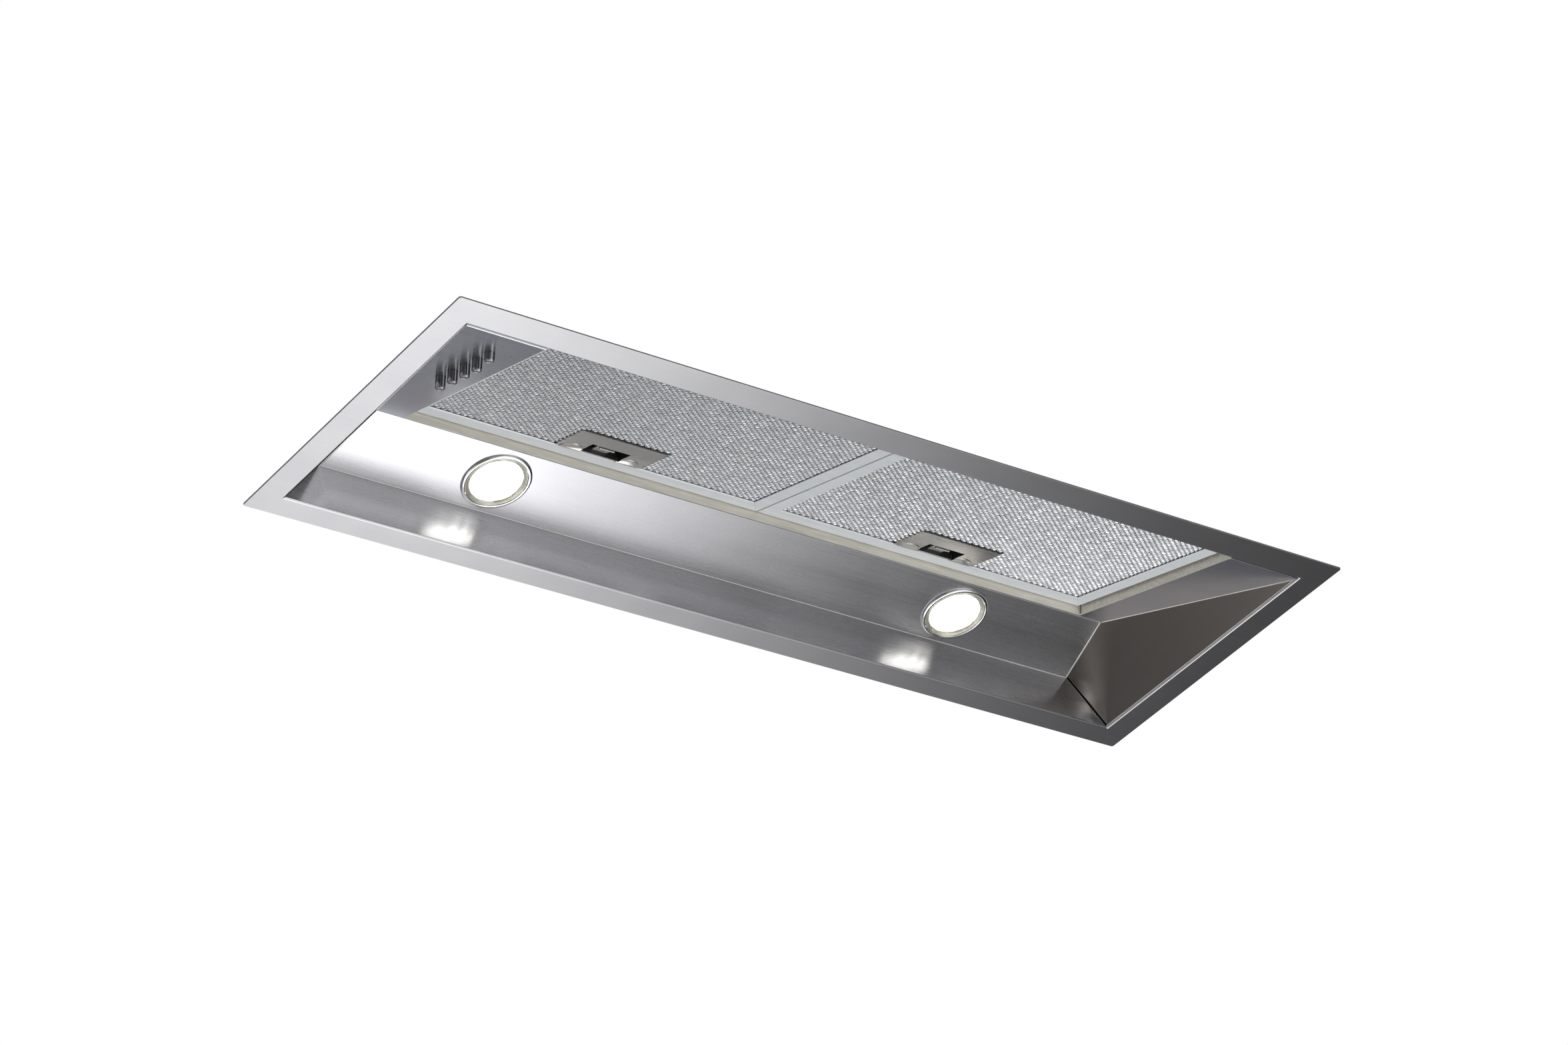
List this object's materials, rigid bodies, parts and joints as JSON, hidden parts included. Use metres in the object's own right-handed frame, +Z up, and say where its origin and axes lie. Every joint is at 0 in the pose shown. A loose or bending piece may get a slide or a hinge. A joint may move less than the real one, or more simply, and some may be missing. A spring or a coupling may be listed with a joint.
{
  "type": "undermount range hood",
  "caption": "Built-in cooker hood with a brushed flange, latching mesh filters, tilted lamps, push buttons and a top duct collar.",
  "frame": {"origin": "centre of the flange's underside, which is the lowest face of the hood", "axes": "+Z up through the duct collar, +X along the hood to the user's right, where the buttons are, -Y towards the cook, where the lamps are"},
  "size_m": [0.86, 0.294, 0.2781],
  "materials": {
    "brushed_stainless": "brushed along the hood",
    "galvanised_sheet": "galvanised sheet",
    "mill_aluminium": "satin",
    "bright_chrome": "bright plated",
    "lamp_lens": "frosted in the middle",
    "moulded_black": "fine moulded texture",
    "moulded_grey": "fine moulded texture",
    "grommet_rubber": "matte"
  },
  "bodies": {
    "hood": {"flange_frame": "brushed_stainless", "filter_deck": "brushed_stainless", "lamp_panel": "brushed_stainless", "left_end_panel": "brushed_stainless", "right_end_panel": "brushed_stainless", "filter_rail": "galvanised_sheet", "housing_shell": "galvanised_sheet", "top_cover": "galvanised_sheet", "motor_bracket": "galvanised_sheet", "motor_body": "galvanised_sheet", "left_lamp_body": "mill_aluminium", "right_lamp_body": "mill_aluminium", "cover_screws": "bright_chrome", "left_lamp_ring": "bright_chrome", "right_lamp_ring": "bright_chrome", "lamp_clips": "bright_chrome", "button_springs": "bright_chrome", "switch_screws": "bright_chrome", "bracket_screws": "bright_chrome", "collar_screws": "bright_chrome", "flap_pin": "bright_chrome", "left_side_clip": "bright_chrome", "right_side_clip": "bright_chrome", "clip_screws": "bright_chrome", "left_lamp_lens": "lamp_lens", "right_lamp_lens": "lamp_lens", "lamp_driver": "moulded_black", "switch_block": "moulded_black", "motor_capacitor": "moulded_black", "terminal_box": "moulded_black", "cable_gland": "moulded_black", "gland_nut": "moulded_black", "left_scroll": "moulded_grey", "right_scroll": "moulded_grey", "duct_collar": "moulded_grey", "terminal_cover": "moulded_grey", "bracket_grommets": "grommet_rubber"},
    "left_filter": {"left_filter_frame": "mill_aluminium", "left_filter_mesh": "mill_aluminium", "left_filter_handle": "brushed_stainless", "left_latch_spring": "bright_chrome"},
    "right_filter": {"right_filter_frame": "mill_aluminium", "right_filter_mesh": "mill_aluminium", "right_filter_handle": "brushed_stainless", "right_latch_spring": "bright_chrome"},
    "left_latch": {"left_filter_latch": "bright_chrome"},
    "right_latch": {"right_filter_latch": "bright_chrome"},
    "light_button": {"light_button": "bright_chrome"},
    "low_button": {"low_button": "bright_chrome"},
    "medium_button": {"medium_button": "bright_chrome"},
    "high_button": {"high_button": "bright_chrome"},
    "off_button": {"off_button": "bright_chrome"},
    "impeller": {"impeller": "moulded_grey", "motor_shaft": "bright_chrome"},
    "front_flap": {"front_flap": "moulded_grey"},
    "rear_flap": {"rear_flap": "moulded_grey"}
  },
  "joints": [
    {"name": "left_filter_swing", "type": "hinge", "parent": "hood", "child": "left_filter", "pos_m": [0, 0.12681, 0.00589], "axis": [1, 0, 0], "range_deg": [0, 38]},
    {"name": "right_filter_swing", "type": "hinge", "parent": "hood", "child": "right_filter", "pos_m": [0, 0.12681, 0.00589], "axis": [1, 0, 0], "range_deg": [0, 38]},
    {"name": "left_latch_slide", "type": "slide", "parent": "left_filter", "child": "left_latch", "axis": [0, 0.9593, -0.2823], "range_m": [0, 0.0055], "stiffness_N_per_m": 250, "springref_m": -0.003, "deforming": ["left_latch_spring"]},
    {"name": "right_latch_slide", "type": "slide", "parent": "right_filter", "child": "right_latch", "axis": [0, 0.9593, -0.2823], "range_m": [0, 0.0055], "stiffness_N_per_m": 250, "springref_m": -0.003, "deforming": ["right_latch_spring"]},
    {"name": "light_press", "type": "slide", "parent": "hood", "child": "light_button", "axis": [0, 0.2823, 0.9593], "range_m": [-0.0032, 0], "deforming": ["button_springs"]},
    {"name": "low_press", "type": "slide", "parent": "hood", "child": "low_button", "axis": [0, 0.2823, 0.9593], "range_m": [0, 0.0032], "stiffness_N_per_m": 300, "springref_m": -0.002, "deforming": ["button_springs"]},
    {"name": "medium_press", "type": "slide", "parent": "hood", "child": "medium_button", "axis": [0, 0.2823, 0.9593], "range_m": [0, 0.0032], "stiffness_N_per_m": 300, "springref_m": -0.002, "deforming": ["button_springs"]},
    {"name": "high_press", "type": "slide", "parent": "hood", "child": "high_button", "axis": [0, 0.2823, 0.9593], "range_m": [0, 0.0032], "stiffness_N_per_m": 300, "springref_m": -0.002, "deforming": ["button_springs"]},
    {"name": "off_press", "type": "slide", "parent": "hood", "child": "off_button", "axis": [0, 0.2823, 0.9593], "range_m": [0, 0.0032], "stiffness_N_per_m": 300, "springref_m": -0.002, "deforming": ["button_springs"]},
    {"name": "impeller_spin", "type": "hinge", "parent": "hood", "child": "impeller", "pos_m": [0, -0.038, 0.154], "axis": [1, 0, 0], "continuous": true},
    {"name": "front_flap_swing", "type": "hinge", "parent": "hood", "child": "front_flap", "pos_m": [0, 0.022, 0.25], "axis": [-1, 0, 0], "range_deg": [0, 75]},
    {"name": "rear_flap_swing", "type": "hinge", "parent": "hood", "child": "rear_flap", "pos_m": [0, 0.022, 0.25], "axis": [1, 0, 0], "range_deg": [0, 75]}
  ]
}
